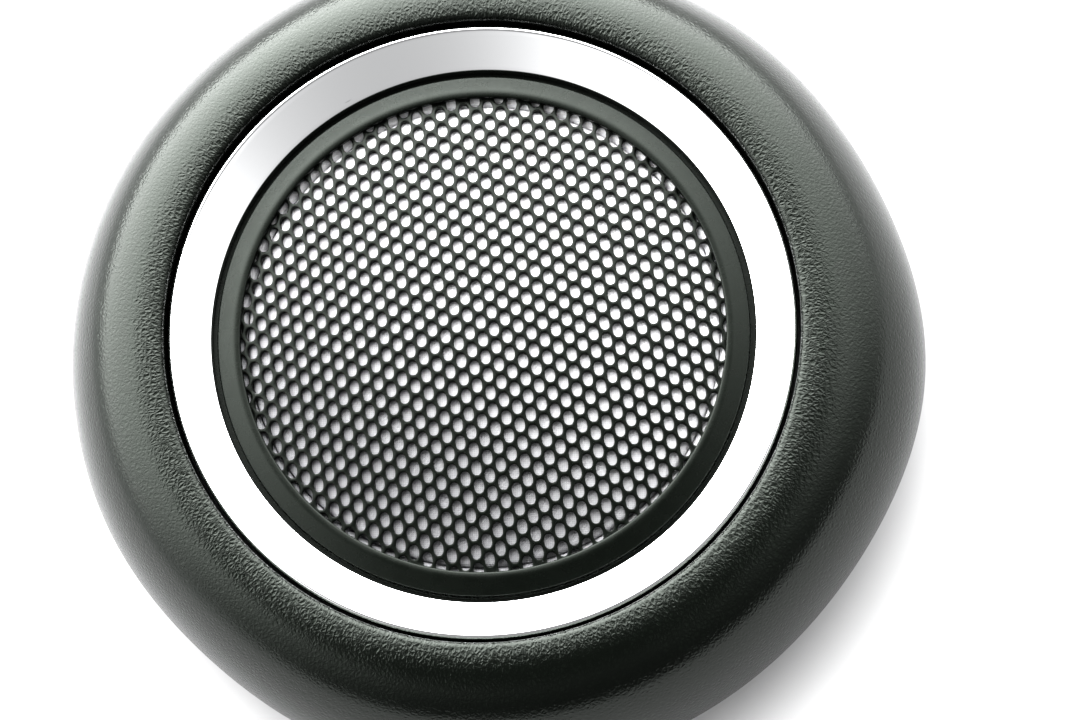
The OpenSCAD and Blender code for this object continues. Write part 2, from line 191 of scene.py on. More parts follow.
def make_piece(name, verts, faces, material):
    """A smooth mesh object on the pod, from vertices in mm."""
    mesh = bpy.data.meshes.new(name)
    mesh.from_pydata((np.asarray(verts) * MM).tolist(), [], [list(f) for f in faces])
    mesh.materials.append(material)
    mesh.polygons.foreach_set("use_smooth", [True] * len(mesh.polygons))
    mesh.update()
    piece = bpy.data.objects.new(name, mesh)
    bpy.context.scene.collection.objects.link(piece)
    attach(piece, "pod")
    return piece


def arc(centre, rho, start, end, steps):
    """Points of an arc in the RZ plane, with directions measured from +Z towards +R."""
    turns = np.linspace(start, end, steps + 1)
    return [(centre[0] + rho * math.sin(t), centre[1] + rho * math.cos(t)) for t in turns]


def rounded(corners, steps):
    """A closed outline of (r, z, rounding) corners, each cut back and replaced by a smooth curve."""
    points = []
    places = [np.array(corner[:2], float) for corner in corners]
    for i, here in enumerate(places):
        to_before = places[i - 1] - here
        to_after = places[(i + 1) % len(places)] - here
        before_length, after_length = np.linalg.norm(to_before), np.linalg.norm(to_after)
        reach = min(corners[i][2], 0.45 * before_length, 0.45 * after_length)
        first = here + to_before / before_length * reach
        last = here + to_after / after_length * reach
        for t in np.linspace(0, 1, steps + 1):
            points.append(tuple((1 - t) ** 2 * first + 2 * t * (1 - t) * here + t * t * last))
    return points


def subdivided(profile, longest):
    """The same closed outline with no edge longer than the given length."""
    points = []
    for i, here in enumerate(profile):
        after = profile[(i + 1) % len(profile)]
        gap = math.dist(here, after)
        steps = max(1, math.ceil(gap / longest))
        for k in range(steps):
            t = k / steps
            points.append((here[0] + (after[0] - here[0]) * t, here[1] + (after[1] - here[1]) * t))
    return points


def lathe(profile, segments):
    """Vertices and quads of a closed outline turned about the Z axis."""
    profile = np.array(profile)
    turns = np.arange(segments) * 2 * math.pi / segments
    verts = np.stack(
        [
            np.outer(np.cos(turns), profile[:, 0]),
            np.outer(np.sin(turns), profile[:, 0]),
            np.tile(profile[:, 1], (segments, 1)),
        ],
        axis=-1,
    ).reshape(-1, 3)
    count = len(profile)
    faces = []
    for s in range(segments):
        for k in range(count):
            a, b = s * count + k, s * count + (k + 1) % count
            c, d = ((s + 1) % segments) * count + (k + 1) % count, ((s + 1) % segments) * count + k
            faces.append((a, d, c, b))
    return verts, faces


# --- material helpers ---


def math_node(tree, operation, *values):
    """A math node whose inputs are numbers or the outputs of other nodes."""
    made = tree.nodes.new("ShaderNodeMath")
    made.operation = operation
    for socket, value in zip(made.inputs, values):
        if isinstance(value, (int, float)):
            socket.default_value = value
        else:
            tree.links.new(value, socket)
    return made.outputs[0]


class Shader:
    """A Principled material and short ways to add nodes to it."""

    def __init__(self, name, colour, roughness, metallic=0.0, **sockets):
        self.material = bpy.data.materials.new(name)
        self.material.use_nodes = True
        self.tree = self.material.node_tree
        self.bsdf = self.tree.nodes["Principled BSDF"]
        self.bsdf.inputs["Base Color"].default_value = (*colour, 1)
        self.bsdf.inputs["Roughness"].default_value = roughness
        self.bsdf.inputs["Metallic"].default_value = metallic
        for socket, value in sockets.items():
            self.bsdf.inputs[socket.replace("_", " ")].default_value = value
        self.where = self.node("ShaderNodeTexCoord").outputs["Object"]

    def node(self, kind, **settings):
        made = self.tree.nodes.new(kind)
        for key, value in settings.items():
            setattr(made, key, value)
        return made

    def link(self, source, target):
        self.tree.links.new(source, target)

    def scaled(self, scale=(1, 1, 1)):
        """Object coordinates in mm, stretched by scale."""
        mapping = self.node("ShaderNodeMapping")
        mapping.inputs["Scale"].default_value = Vector(scale) / MM
        self.link(self.where, mapping.inputs["Vector"])
        return mapping.outputs["Vector"]

    def noise(self, per_mm, detail=3.0, roughness=0.5, vector=None):
        made = self.node("ShaderNodeTexNoise")
        made.inputs["Scale"].default_value = per_mm
        made.inputs["Detail"].default_value = detail
        made.inputs["Roughness"].default_value = roughness
        self.link(vector or self.scaled(), made.inputs["Vector"])
        return made.outputs["Fac"]

    def voronoi(self, per_mm, feature="DISTANCE_TO_EDGE", vector=None):
        made = self.node("ShaderNodeTexVoronoi", feature=feature)
        made.inputs["Scale"].default_value = per_mm
        self.link(vector or self.scaled(), made.inputs["Vector"])
        return made.outputs["Distance"]

    def math(self, operation, a, b):
        return math_node(self.tree, operation, a, b)

    def span(self, value, from_low, from_high, to_low=0.0, to_high=1.0):
        """The value's range turned smoothly into another one."""
        made = self.node("ShaderNodeMapRange", interpolation_type="SMOOTHSTEP")
        for socket, number in zip(made.inputs[1:5], (from_low, from_high, to_low, to_high)):
            socket.default_value = number
        self.link(value, made.inputs[0])
        return made.outputs[0]

    def mix(self, factor, low, high):
        """A mix of two colours, each given as numbers or as a node's output."""
        made = self.node("ShaderNodeMix", data_type="RGBA")
        self.link(factor, made.inputs[0])
        for socket, colour in zip((made.inputs[6], made.inputs[7]), (low, high)):
            if isinstance(colour, tuple):
                socket.default_value = (*colour, 1)
            else:
                self.link(colour, socket)
        return made.outputs[2]

    def attribute(self, name, output="Fac"):
        return self.node("ShaderNodeAttribute", attribute_name=name).outputs[output]

    def bump(self, height, depth_mm):
        made = self.node("ShaderNodeBump")
        made.inputs["Distance"].default_value = depth_mm * MM
        made.inputs["Strength"].default_value = 1.0
        self.link(height, made.inputs["Height"])
        return made.outputs["Normal"]

    def set(self, socket, value):
        self.link(value, self.bsdf.inputs[socket])


def dark_plastic(name, roughness, gloss):
    """A near-black plastic whose gloss is slightly green."""
    return Shader(name, SOFT_BLACK, roughness, Specular_Tint=GLOSS_TINT, Specular_IOR_Level=gloss)


def leather():
    """Soft-touch leather-look skin: deep pebbles near the ring, stretched smooth over the shoulder."""
    s = dark_plastic("leather_look", 0.2, gloss=0.37)
    grain = s.attribute("grain")
    place = s.attribute("place", "Vector")
    warp_per_mm, warp_reach = 1.1, 0.45
    pebbles_per_mm, wrinkles_per_mm = 1.6, 3.0
    warp = s.node("ShaderNodeTexNoise")
    warp.inputs["Scale"].default_value = warp_per_mm
    s.link(place, warp.inputs["Vector"])
    shifted = s.node("ShaderNodeVectorMath", operation="MULTIPLY_ADD")
    s.link(warp.outputs["Color"], shifted.inputs[0])
    shifted.inputs[1].default_value = (warp_reach, warp_reach, warp_reach)
    s.link(place, shifted.inputs[2])
    warped = shifted.outputs[0]
    pebbles = s.span(s.voronoi(pebbles_per_mm, vector=warped), 0.0, 0.42)
    wrinkles = s.span(s.voronoi(wrinkles_per_mm, vector=warped), 0.0, 0.45)
    fine = s.noise(5.0, detail=2.0)
    deep = s.math("MULTIPLY", s.math("ADD", pebbles, s.math("MULTIPLY", wrinkles, 0.3)), grain)
    shallow = s.math("ADD", s.math("MULTIPLY", wrinkles, 0.09), s.math("MULTIPLY", fine, 0.05))
    s.set("Normal", s.bump(s.math("ADD", deep, shallow), 0.052))
    patches = s.noise(0.09, detail=4.0)
    tone = s.math("MULTIPLY", pebbles, patches)
    dark, light = (0.0018, 0.0026, 0.0018), (0.0035, 0.005, 0.0035)
    s.set("Base Color", s.mix(s.span(tone, 0.1, 0.6), dark, light))
    rough = s.math("ADD", s.span(patches, 0.3, 0.7, 0.11, 0.15), s.math("MULTIPLY", grain, 0.16))
    s.set("Roughness", rough)
    return s.material


def bright_chrome():
    """Polished chrome plate with a faint uneven haze."""
    s = Shader("bright_chrome", (0.93, 0.935, 0.945), 0.045, metallic=1.0)
    haze = s.noise(0.35, detail=5.0)
    s.set("Roughness", s.span(haze, 0.3, 0.75, 0.03, 0.055))
    return s.material


def satin_black():
    """Satin paint with a very fine texture."""
    s = dark_plastic("satin_black", 0.27, gloss=0.24)
    spark = s.noise(7.0, detail=3.0, roughness=0.6)
    s.set("Normal", s.bump(spark, 0.012))
    s.set("Roughness", s.span(s.noise(0.4, detail=4.0), 0.3, 0.7, 0.24, 0.3))
    return s.material


def powder_coat():
    """Powder coat with a slight orange peel."""
    s = dark_plastic("powder_coat", 0.28, gloss=0.2)
    orange_peel = s.noise(3.2, detail=3.0)
    s.set("Normal", s.bump(orange_peel, 0.02))
    s.set("Roughness", s.span(s.noise(0.6, detail=3.0), 0.3, 0.7, 0.27, 0.35))
    return s.material


def acoustic_weave():
    """Pale open weave, with shade painted into its colour that makes it dimmer towards one side."""
    s = Shader("acoustic_weave", (0.86, 0.86, 0.87), 0.9, Specular_IOR_Level=0.1)
    threads = [s.node("ShaderNodeTexWave", bands_direction=axis) for axis in ("X", "Y")]
    for wave in threads:
        wave.inputs["Scale"].default_value = 1.1
        s.link(s.scaled(), wave.inputs["Vector"])
    height = s.math("MAXIMUM", threads[0].outputs["Fac"], threads[1].outputs["Fac"])
    s.set("Normal", s.bump(height, 0.05))
    place = s.node("ShaderNodeSeparateXYZ")
    s.link(s.scaled(), place.inputs[0])
    along_x = s.math("MULTIPLY", place.outputs["X"], PAINTED_LIGHT_SIDE[0])
    along_y = s.math("MULTIPLY", place.outputs["Y"], PAINTED_LIGHT_SIDE[1])
    # Painted shade: the colour fades from pale threads to dim grey threads across the cloth
    shade = s.span(s.math("ADD", along_y, along_x), -CLOTH_SHADE_FADE, CLOTH_SHADE_FADE)
    threads_painted_light = s.mix(height, (0.88, 0.88, 0.9), (0.96, 0.96, 0.97))
    threads_painted_shade = s.mix(height, (0.26, 0.26, 0.27), (0.34, 0.34, 0.35))
    s.set("Base Color", s.mix(shade, threads_painted_shade, threads_painted_light))
    return s.material


def moulded_plastic(name, colour, roughness, **sockets):
    """Moulded plastic: a fine spark-eroded texture and faint flow marks."""
    s = Shader(name, colour, roughness, **sockets)
    flow = s.noise(0.12, detail=5.0, vector=s.scaled((1, 1, 0.4)))
    grain = s.noise(4.5, detail=4.0, roughness=0.65)
    dark, light = (tuple(c * k for c in colour) for k in (0.78, 1.2))
    s.set("Base Color", s.mix(s.span(flow, 0.3, 0.7), dark, light))
    s.set("Roughness", s.span(flow, 0.3, 0.7, roughness - 0.06, roughness + 0.08))
    s.set("Normal", s.bump(grain, 0.03))
    return s.material


def plated_metal(name, colour, roughness, streak=(1, 1, 1)):
    """Plated or rolled metal: streaks of varied gloss, faint blotches and fine scratches."""
    s = Shader(name, colour, roughness, metallic=1.0)
    streaks = s.noise(3.0, detail=6.0, roughness=0.6, vector=s.scaled(streak))
    blotches = s.noise(0.35, detail=4.0)
    dull = tuple(c * 0.72 for c in colour)
    s.set("Base Color", s.mix(s.span(blotches, 0.35, 0.75), colour, dull))
    s.set("Roughness", s.span(streaks, 0.3, 0.7, roughness - 0.08, roughness + 0.14))
    s.set("Normal", s.bump(streaks, 0.012))
    return s.material


def foam():
    """Open-cell foam with small pores."""
    s = Shader("open_cell_foam", (0.05, 0.05, 0.055), 0.95, Specular_IOR_Level=0.1)
    pores = s.span(s.voronoi(2.4, feature="F1"), 0.1, 0.6)
    s.set("Base Color", s.mix(pores, (0.02, 0.02, 0.022), (0.085, 0.085, 0.09)))
    s.set("Normal", s.bump(s.math("ADD", pores, s.noise(5.0)), 0.18))
    return s.material


def coated_silk():
    """Doped fabric of the dome and its surround: a fine weave under a soft sheen."""
    s = Shader("coated_silk", (0.02, 0.018, 0.018), 0.5, Sheen_Weight=0.4, Sheen_Roughness=0.4)
    weft, warp = (s.node("ShaderNodeTexWave", bands_direction=axis) for axis in ("X", "Y"))
    for wave in (weft, warp):
        wave.inputs["Scale"].default_value = 0.9
        s.link(s.scaled(), wave.inputs["Vector"])
    weave = s.math("MULTIPLY", weft.outputs["Fac"], warp.outputs["Fac"])
    s.set("Normal", s.bump(weave, 0.03))
    s.set("Base Color", s.mix(weave, (0.014, 0.012, 0.012), (0.032, 0.028, 0.028)))
    return s.material


def copper_winding():
    """Enamelled wire in close turns along the axis."""
    s = Shader("copper_winding", (0.62, 0.25, 0.1), 0.28, metallic=1.0, Coat_Weight=0.5)
    turns = s.node("ShaderNodeTexWave", bands_direction="Z")
    turns.inputs["Scale"].default_value = 1.6
    s.link(s.scaled(), turns.inputs["Vector"])
    s.set("Normal", s.bump(turns.outputs["Fac"], 0.06))
    s.set("Base Color", s.mix(turns.outputs["Fac"], (0.3, 0.1, 0.035), (0.7, 0.3, 0.13)))
    return s.material


def phenolic_paper():
    """Brown laminated paper board with fibres."""
    s = Shader("phenolic_paper", (0.2, 0.085, 0.03), 0.5)
    fibres = s.noise(2.0, detail=6.0, roughness=0.7, vector=s.scaled((0.3, 2.0, 1.0)))
    s.set("Base Color", s.mix(fibres, (0.12, 0.045, 0.015), (0.3, 0.14, 0.055)))
    s.set("Normal", s.bump(fibres, 0.03))
    return s.material


def insulation(name, colour):
    """Soft wire insulation: slight gloss, faint ripples and dust."""
    s = Shader(name, colour, 0.42, Coat_Weight=0.1)
    dust = s.span(s.noise(0.8, detail=6.0), 0.45, 0.75)
    pale = tuple(0.75 * c + 0.05 for c in colour)
    s.set("Base Color", s.mix(dust, colour, pale))
    s.set("Roughness", s.span(dust, 0.0, 1.0, 0.36, 0.6))
    s.set("Normal", s.bump(s.noise(1.4), 0.06))
    return s.material


# --- pod skin ---


def skin_arcs(crest_r):
    """Centres and radii of the pod's arcs, worked out from the CAD skin's box as part.scad does."""
    low, high = node_box("pod_skin")
    rim_r, rim_z, crest_z = high.x, low.z, high.z
    rim_end = (
        rim_r - RIM_FILLET * (1 - math.sin(RIM_TURN)),
        rim_z + RIM_FILLET * (1 + math.cos(RIM_TURN)),
    )
    span_r, span_z = rim_end[0] - crest_r, crest_z - rim_end[1]
    turn_r = math.sin(RIM_TURN) - math.sin(SHOULDER_TURN)
    turn_z = math.cos(SHOULDER_TURN) - math.cos(RIM_TURN)
    lean = (1 - math.cos(SHOULDER_TURN)) / math.sin(SHOULDER_TURN)
    skirt_rho = (span_z - span_r * lean) / (turn_z - turn_r * lean)
    crest_rho = (span_r - turn_r * skirt_rho) / math.sin(SHOULDER_TURN)
    crest_c = np.array([crest_r, crest_z - crest_rho])
    shoulder = np.array([math.sin(SHOULDER_TURN), math.cos(SHOULDER_TURN)])
    skirt_c = crest_c + (crest_rho - skirt_rho) * shoulder
    rim_c = np.array(rim_end) - RIM_FILLET * np.array([math.sin(RIM_TURN), math.cos(RIM_TURN)])
    return crest_c, crest_rho, skirt_c, skirt_rho, rim_c, rim_z


def rim_swell(angle, azimuth, half_width, height):
    """A smooth swell of the rim, highest at its azimuth."""
    apart = np.angle(np.exp(1j * (angle - math.radians(azimuth))))
    return height * np.exp(-((apart / math.radians(half_width)) ** 2))


def build_skin(material):
    """The wrapped pod skin, tucked in beside the chrome ring and folded under at the rim."""
    ring_low, ring_high = node_box("chrome_ring")
    tuck_r = ring_high.x + TUCK_GAP
    tuck_z = ring_low.z + TUCK_START
    rim_r = node_box("pod_skin")[1].x

    def side(inset, fine, crest_r):
        """One face of the skin, from the tuck beside the ring out to the end of the fold."""
        crest_c, crest_rho, skirt_c, skirt_rho, rim_c, rim_z = skin_arcs(crest_r)
        land_z = crest_c[1] + crest_rho - (crest_r - tuck_r) * math.sin(LAND_TILT) / 2
        tuck_c = (tuck_r + TUCK_FILLET, land_z - TUCK_FILLET)
        points = [(tuck_r + inset, z) for z in np.linspace(tuck_z, tuck_c[1], 8 * fine)[:-1]]
        points += arc(tuck_c, max(TUCK_FILLET - inset, 0.01), -math.pi / 2, -LAND_TILT, 8 * fine)
        points += arc(crest_c, crest_rho - inset, -LAND_TILT / 2, SHOULDER_TURN, 34 * fine)[:-1]
        points += arc(skirt_c, skirt_rho - inset, SHOULDER_TURN, RIM_TURN, 40 * fine)[:-1]
        points += arc(rim_c, RIM_FILLET - inset, RIM_TURN, math.pi, 10 * fine)
        points += [(r, rim_z + inset) for r in np.linspace(rim_c[0], rim_r - FOLD_W, 6 * fine)[1:]]
        return points

    outer = side(0.0, 2, CREST_R - CREST_PULL)
    inner = side(SKIN_T, 1, CREST_R)[::-1]
    profile = outer + inner
    verts, faces = lathe(profile, SKIN_SEGMENTS)
    radius = np.hypot(verts[:, 0], verts[:, 1])
    angle = np.arctan2(verts[:, 1], verts[:, 0])
    out = np.maximum((radius - CREST_R) / (rim_r - CREST_R), 0)
    swell = sum(rim_swell(angle, *shape) for shape in RIM_SHAPE.values())
    radius = radius + out * swell
    verts[:, 0] = radius * np.cos(angle)
    verts[:, 1] = radius * np.sin(angle)
    piece = make_piece("pod_skin_wrap", verts, faces, material)
    add_grain(piece, profile, len(outer), tuck_r, rim_r)
    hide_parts("pod_skin")


def add_grain(piece, profile, outer_count, tuck_r, rim_r):
    """Store where each point lies on the hide, and how deep its pebbles are."""
    weights, along, run = [], [], 0.0
    for k, (r, z) in enumerate(profile):
        share = (r - tuck_r) / (rim_r - tuck_r)
        across = min(max((share - GRAIN_FADE_START) / GRAIN_FADE_WIDTH, 0), 1)
        weights.append(1.0 - GRAIN_FADE_LOSS * across if k < outer_count else GRAIN_INSIDE)
        if k:
            run += math.dist(profile[k - 1], (r, z)) * (HIDE_RUN + HIDE_RUN_GAIN * across)
        along.append(run)
    turns = np.arange(SKIN_SEGMENTS) * 2 * math.pi / SKIN_SEGMENTS
    spots = np.stack(
        [
            np.repeat(np.cos(turns) * CREST_R, len(profile)),
            np.repeat(np.sin(turns) * CREST_R, len(profile)),
            np.tile(along, SKIN_SEGMENTS),
        ],
        axis=-1,
    )
    depth = piece.data.attributes.new("grain", "FLOAT", "POINT")
    depth.data.foreach_set("value", np.tile(weights, SKIN_SEGMENTS).astype(np.float32))
    place = piece.data.attributes.new("place", "FLOAT_VECTOR", "POINT")
    place.data.foreach_set("vector", spots.astype(np.float32).ravel())


# --- trim rings ---


def build_chrome(material):
    """The funnel-shaped chrome ring with its rolled lip, and the six screw posts under it."""
    low, high = node_box("chrome_ring")
    out_r, top = high.x, high.z
    ring_z = top - RING_RISE
    foot = ring_z - RING_FOOT_H
    cut = RING_CHAMFER
    lip_c = (out_r - LIP_R, top - LIP_R)
    inner_c = (RING_IN_R + INNER_LIP_R, ring_z - INNER_LIP_DROP)
    wall = lip_c[0] - LIP_WALL_T
    plate_r = RING_IN_R + INNER_FOOT_W
    profile = [(wall, foot), (out_r - cut, foot), (out_r, foot + cut)]
    profile += arc(lip_c, LIP_R, math.pi / 2, -RING_SLOPE, 14)
    profile += arc(inner_c, INNER_LIP_R, -RING_SLOPE, -math.pi / 2, 8)
    profile += [(RING_IN_R, foot + cut), (RING_IN_R + cut, foot), (plate_r - cut, foot)]
    profile += [(plate_r, foot + cut), (plate_r, ring_z - RING_PLATE_T), (wall, lip_c[1] - LIP_UNDER)]
    verts, faces = lathe(subdivided(profile[::-1], 0.6), 512)
    solids = [verts]
    start = len(verts)
    post_z, post_top = low.z, ring_z + POST_SINK
    post = [
        (AXIS_GAP, post_z), (POST_R - POST_CHAMFER, post_z), (POST_R, post_z + POST_CHAMFER),
        (POST_R, post_top), (AXIS_GAP, post_top),
    ]
    for turn in range(POST_COUNT):
        column, sides = lathe(post, 24)
        away = 2 * math.pi * turn / POST_COUNT
        solids.append(column + np.array([math.cos(away), math.sin(away), 0]) * POST_RING_R)
        faces += [tuple(start + k for k in side) for side in sides]
        start += len(column)
    piece = make_piece("chrome_trim", np.concatenate(solids), faces, material)
    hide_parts("chrome_ring")


def build_bezel(material):
    """The satin ring that holds the grille down, with a low crown on its face."""
    low, high = node_box("bezel_ring")
    seat_z, foot_r = low.z, high.x
    ring_z = seat_z + BEZEL_RISE
    step_z, lip_z = ring_z - BEZEL_STEP_H, ring_z - BEZEL_LIP_T
    wall_r = BEZEL_OUT_R - BEZEL_WALL_T
    corners = [
        (wall_r, seat_z, 0.1), (foot_r, seat_z, 0.15), (foot_r, step_z, 0.15),
        (BEZEL_OUT_R, step_z, 0.1), (BEZEL_OUT_R, ring_z - BEZEL_EDGE_DROP, 0.35),
        (BEZEL_IN_R + BEZEL_CROWN_IN, ring_z + BEZEL_CROWN, 1.4),
        (BEZEL_IN_R, ring_z + BEZEL_INNER_RISE, 0.3), (BEZEL_IN_R, lip_z, 0.08),
        (wall_r, lip_z, 0.1),
    ]
    verts, faces = lathe(subdivided(rounded(corners, 6), 0.5), 480)
    piece = make_piece("bezel_trim", verts, faces, material)
    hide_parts("bezel_ring")


# --- grille ---


def hole_outline(grow):
    """A squarish oval, as (x, y) about its centre, counter-clockwise."""
    half_w, half_l = HOLE_WIDTH / 2 + grow, HOLE_LENGTH / 2 + grow
    turns = np.arange(HOLE_POINTS) * 2 * math.pi / HOLE_POINTS
    cos, sin = np.cos(turns), np.sin(turns)
    across, along = np.abs(cos / half_w), np.abs(sin / half_l)
    reach = (across**HOLE_SQUARENESS + along**HOLE_SQUARENESS) ** (-1 / HOLE_SQUARENESS)
    return np.stack([reach * cos, reach * sin], axis=1)


def cell_outline():
    """The six-sided cell round one hole, sampled in the same directions as its outline."""
    half_pitch = HOLE_PITCH / 2
    diagonal = np.array([COLUMN_PITCH, half_pitch])
    sides = [np.array([0.0, HOLE_PITCH]), np.array([0.0, -HOLE_PITCH])]
    sides += [diagonal * s for s in ((1, 1), (1, -1), (-1, 1), (-1, -1))]
    turns = np.arange(HOLE_POINTS) * 2 * math.pi / HOLE_POINTS
    away = np.stack([np.cos(turns), np.sin(turns)], axis=1)
    reach = np.full(HOLE_POINTS, np.inf)
    for side in sides:
        facing = away @ side
        with np.errstate(divide="ignore"):
            limit = np.where(facing > 1e-9, (side @ side / 2) / facing, np.inf)
        reach = np.minimum(reach, limit)
    return away * reach[:, None]


def dome_height(r):
    """Height of the grille's upper face at each distance from the axis."""
    dome = np.sqrt(np.maximum(DOME_RHO**2 - r**2, 0)) - (DOME_RHO - GRILLE_RISE)
    return node_box("grille_mesh")[0].z + GRILLE_T + np.where(r < DOME_R, dome, 0)


def grille_surface(xy):
    """Height and outward normal of the grille's upper face at each (x, y)."""
    r = np.hypot(xy[:, 0], xy[:, 1])
    slope = np.where(r < DOME_R, r / DOME_RHO, 0)
    unit = xy / np.maximum(r, 1e-9)[:, None]
    normal = np.concatenate([unit * slope[:, None], np.sqrt(1 - slope**2)[:, None]], axis=1)
    return dome_height(r), normal


def build_grille(material):
    """The domed sheet, made of one six-sided cell for each hole and plain cells at its border."""
    edge_r = node_box("grille_mesh")[1].x
    cell = cell_outline()
    # A hole's wall from the front to the back: how far it flares out, and at what depth
    layers = [(0.09, 0.0), (0.035, 0.03), (0.0, 0.1), (0.0, GRILLE_T - 0.08), (0.05, GRILLE_T)]
    rings = [(hole_outline(grow), depth) for grow, depth in layers]
    cos, sin = math.cos(HOLE_TURN), math.sin(HOLE_TURN)
    turn = np.array([[cos, -sin], [sin, cos]])
    flat, depths, faces = [], [], []

    def put(xy, depth):
        start = len(flat)
        flat.extend((xy @ turn.T).tolist())
        depths.extend([depth] * len(xy))
        return start

    def clamp(xy):
        r = np.hypot(xy[:, 0], xy[:, 1])
        return xy * np.minimum(1, edge_r / r)[:, None]

    columns = int(edge_r / COLUMN_PITCH) + 2
    rows = int(edge_r / HOLE_PITCH) + 2
    around = [(k, (k + 1) % HOLE_POINTS) for k in range(HOLE_POINTS)]
    for i in range(-columns, columns + 1):
        for j in range(-rows, rows + 1):
            centre = np.array([i * COLUMN_PITCH, (j + (i % 2) / 2) * HOLE_PITCH + HOLE_SHIFT])
            near = np.hypot(*(cell + centre).T)
            if near.min() > edge_r:
                continue
            border = clamp(cell + centre)
            pierced = np.hypot(*(rings[0][0] + centre).T).max() < edge_r - GRILLE_BORDER
            top = put(border, 0.0)
            loops = [put(ring + centre, depth) for ring, depth in rings] if pierced else []
            bottom = put(border, GRILLE_T)
            if pierced:
                chain = [top, *loops, bottom]
                for first, second in zip(chain, chain[1:]):
                    faces += [(first + k, first + n, second + n, second + k) for k, n in around]
            else:
                faces.append(tuple(top + k for k in range(HOLE_POINTS)))
                faces.append(tuple(bottom + k for k in reversed(range(HOLE_POINTS))))
            outer = near > edge_r - 1e-6
            for k, n in around:
                if outer[k] and outer[n]:
                    faces.append((bottom + k, bottom + n, top + n, top + k))
    flat, depths = np.array(flat), np.array(depths)
    z, normal = grille_surface(flat)
    verts = np.column_stack([flat, z]) - normal * depths[:, None]
    piece = make_piece("grille_pierced", verts, faces, material)
    weld(piece, WELD_DISTANCE)
    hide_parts("grille_mesh")


def weld(piece, distance):
    """Join vertices that are closer than a distance in mm."""
    work = bmesh.new()
    work.from_mesh(piece.data)
    bmesh.ops.remove_doubles(work, verts=work.verts, dist=distance * MM)
    bmesh.ops.dissolve_degenerate(work, dist=distance * MM * 0.5, edges=work.edges)
    work.to_mesh(piece.data)
    work.free()


# --- cloth and foam tape ---


def build_cloth(material):
    """Cloth laid on the back of the grille, turned down the sleeve and clamped under its foot."""
    high = node_box("acoustic_cloth")[1]
    edge_r, foot_z = high.x, high.z
    turn_r = SLEEVE_IN_R - CLOTH_CLEAR

    def path(drop):
        """The cloth's face, shifted towards its back by drop."""
        wall_r = turn_r - drop
        reach = np.linspace(0.05, wall_r - CLOTH_BEND, CLOTH_STEPS)
        under = dome_height(reach) - GRILLE_T - CLOTH_CLEAR - drop
        bottom = foot_z - drop
        corner = [(wall_r - 0.1, under[-1] - 0.25), (wall_r, under[-1] - CLOTH_DROP)]
        foot = [(wall_r, bottom + CLOTH_FOOT), (wall_r + 0.3, bottom), (edge_r, bottom)]
        return list(zip(reach, under)) + corner + foot

    profile = path(0.0) + path(CLOTH_T)[::-1]
    verts, faces = lathe(subdivided(profile, 0.7), 300)
    piece = make_piece("cloth_stretched", verts, faces, material)
    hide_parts("acoustic_cloth")


def build_tape(material):
    """Foam tape under the folded rim, cut once, with soft uneven edges."""
    low, high = node_box("rim_gasket")
    outer, inner = high.x, high.x - TAPE_W
    corners = [
        (r, z, TAPE_ROUNDING)
        for r, z in ((inner, low.z), (outer, low.z), (outer, high.z), (inner, high.z))
    ]
    outline = np.array(subdivided(rounded(corners, 4), 0.35))
    middle = np.array([(inner + outer) / 2, (low.z + high.z) / 2])
    turns = np.radians(np.linspace(TAPE_START, TAPE_END, TAPE_STEPS))
    verts = []
    for turn in turns:
        for point in outline:
            away = point - middle
            spot = Vector((point[0] * math.cos(turn), point[0] * math.sin(turn), point[1]))
            swell = TAPE_SWELL * noise.noise(spot * 0.9) - TAPE_SHRINK
            r, z = point + away / np.linalg.norm(away) * swell
            verts.append((r * math.cos(turn), r * math.sin(turn), min(z, high.z)))
    count = len(outline)
    faces = []
    for t in range(len(turns) - 1):
        for k in range(count):
            n = (k + 1) % count
            faces.append((t * count + k, (t + 1) * count + k, (t + 1) * count + n, t * count + n))
    faces.append(tuple(range(count)))
    faces.append(tuple(reversed(range((len(turns) - 1) * count, len(turns) * count))))
    piece = make_piece("rim_tape", verts, faces, material)
    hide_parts("rim_gasket")


# --- build ---


# The sleeve is lined with the cloth, which shows pale through the grille and carries the cloth's
# painted shade
LINED_NODES = {"grille_sleeve": "cloth"}


def dress_cad_nodes():
    """Give every CAD node the material of its slot, and return the materials by slot."""
    finishes = {
        "carrier": moulded_plastic("carrier_plastic", (0.014, 0.015, 0.015), 0.48),
        "foam": foam(),
        "zinc": plated_metal("zinc_plate", (0.68, 0.69, 0.71), 0.3),
        "spring_steel": plated_metal("spring_steel", (0.62, 0.63, 0.65), 0.26, (0.25, 0.25, 3.0)),
        "silk": coated_silk(),
        "former": plated_metal("former_foil", (0.78, 0.79, 0.8), 0.3, (0.3, 0.3, 2.5)),
        "copper": copper_winding(),
        "magnet": plated_metal("magnet_nickel", (0.56, 0.56, 0.56), 0.24),
        "phenolic": phenolic_paper(),
        "brass": plated_metal("tab_brass", (0.72, 0.52, 0.2), 0.28),
        "capacitor": moulded_plastic("capacitor_sleeve", (0.02, 0.04, 0.15), 0.22, Coat_Weight=0.3),
        "white_plastic": moulded_plastic("socket_nylon", (0.62, 0.61, 0.56), 0.42),
        "wire_red": insulation("insulation_red", (0.33, 0.012, 0.01)),
        "wire_black": insulation("insulation_black", (0.012, 0.012, 0.013)),
        "skin": leather(),
        "chrome": bright_chrome(),
        "bezel": satin_black(),
        "grille": powder_coat(),
        "cloth": acoustic_weave(),
    }
    for name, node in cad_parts.items():
        for holder in node.material_slots:
            slot = holder.material.name.split(".")[0]
            holder.material = finishes[LINED_NODES.get(name, slot)]
    return finishes


finishes = dress_cad_nodes()
build_skin(finishes["skin"])
build_chrome(finishes["chrome"])
build_bezel(finishes["bezel"])
build_grille(finishes["grille"])
build_cloth(finishes["cloth"])
build_tape(finishes["foam"])

# --- stage ---


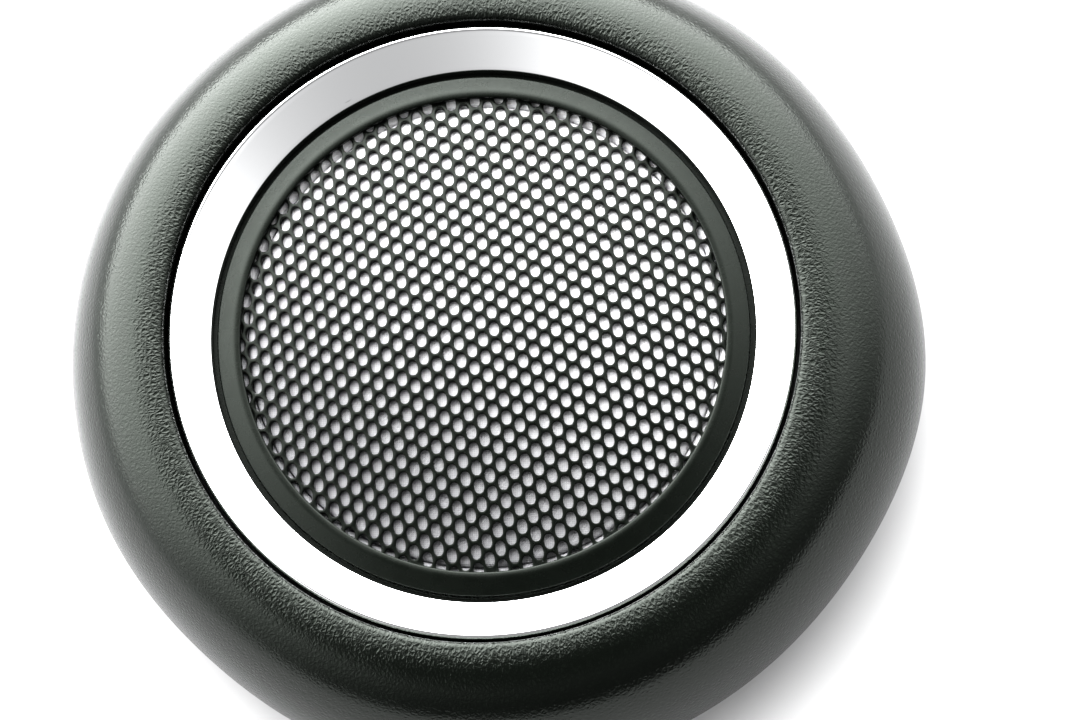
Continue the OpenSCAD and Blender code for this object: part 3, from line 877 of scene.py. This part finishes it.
def build_floor():
    """The pale table top, in metres."""
    half = 1.5
    matt = Shader("floor_white", (0.45, 0.45, 0.453), 0.6, Specular_IOR_Level=0.2)
    mesh = bpy.data.meshes.new("floor")
    corners = [(-half, -half, 0), (half, -half, 0), (half, half, 0), (-half, half, 0)]
    mesh.from_pydata(corners, [], [(0, 1, 2, 3)])
    mesh.materials.append(matt.material)
    floor = bpy.data.objects.new("floor", mesh)
    bpy.context.scene.collection.objects.link(floor)


def towards(azimuth, elevation):
    """Unit vector for an azimuth from +X towards +Y and an elevation."""
    flat = math.cos(elevation)
    return Vector((math.cos(azimuth) * flat, math.sin(azimuth) * flat, math.sin(elevation)))


def build_light():
    """A soft sky, brightest towards the window and dark round the camera."""
    world = bpy.data.worlds.new("studio")
    bpy.context.scene.world = world
    world.use_nodes = True
    tree = world.node_tree
    direction = tree.nodes.new("ShaderNodeTexCoord").outputs["Generated"]

    def facing(target):
        made = tree.nodes.new("ShaderNodeVectorMath")
        made.operation = "DOT_PRODUCT"
        tree.links.new(direction, made.inputs[0])
        made.inputs[1].default_value = target
        return made.outputs["Value"]

    to_window = facing(towards(WINDOW_AZIMUTH, WINDOW_ELEVATION))
    window = math_node(tree, "MULTIPLY_ADD", to_window, 0.5, 0.5)
    spread = math_node(tree, "POWER", window, WINDOW_SPREAD)
    glow = math_node(tree, "MULTIPLY", spread, WINDOW_RADIANCE)
    clear = tree.nodes.new("ShaderNodeMapRange")
    clear.interpolation_type = "SMOOTHSTEP"
    clear.inputs["From Min"].default_value = math.cos(SHADE_INNER)
    clear.inputs["From Max"].default_value = math.cos(SHADE_OUTER)
    tree.links.new(facing(camera_direction()), clear.inputs["Value"])
    shaded = math_node(tree, "MULTIPLY", glow, clear.outputs["Result"])
    sky = math_node(tree, "ADD", shaded, ROOM_RADIANCE)
    background = tree.nodes["Background"]
    background.inputs["Color"].default_value = (1, 1, 1, 1)
    tree.links.new(sky, background.inputs["Strength"])


def camera_direction():
    """Unit vector from the pod to the camera."""
    return towards(VIEW_AZIMUTH - math.pi / 2, VIEW_ELEVATION)


def build_camera():
    """A camera that looks at AIM from its azimuth and elevation, rolled about its own axis."""
    data = bpy.data.cameras.new("view")
    data.lens = VIEW_LENS
    data.sensor_width = 36.0
    camera = bpy.data.objects.new("view", data)
    bpy.context.scene.collection.objects.link(camera)
    away = camera_direction()
    facing = away.to_track_quat("Z", "Y").to_matrix().to_4x4()
    camera.matrix_world = (
        Matrix.Translation(AIM + away * VIEW_DISTANCE) @ facing @ Matrix.Rotation(-VIEW_ROLL, 4, "Z")
    )
    bpy.context.scene.camera = camera


build_floor()
build_light()
build_camera()
bpy.context.scene.view_settings.view_transform = "Standard"
bpy.context.scene.view_settings.look = "High Contrast"
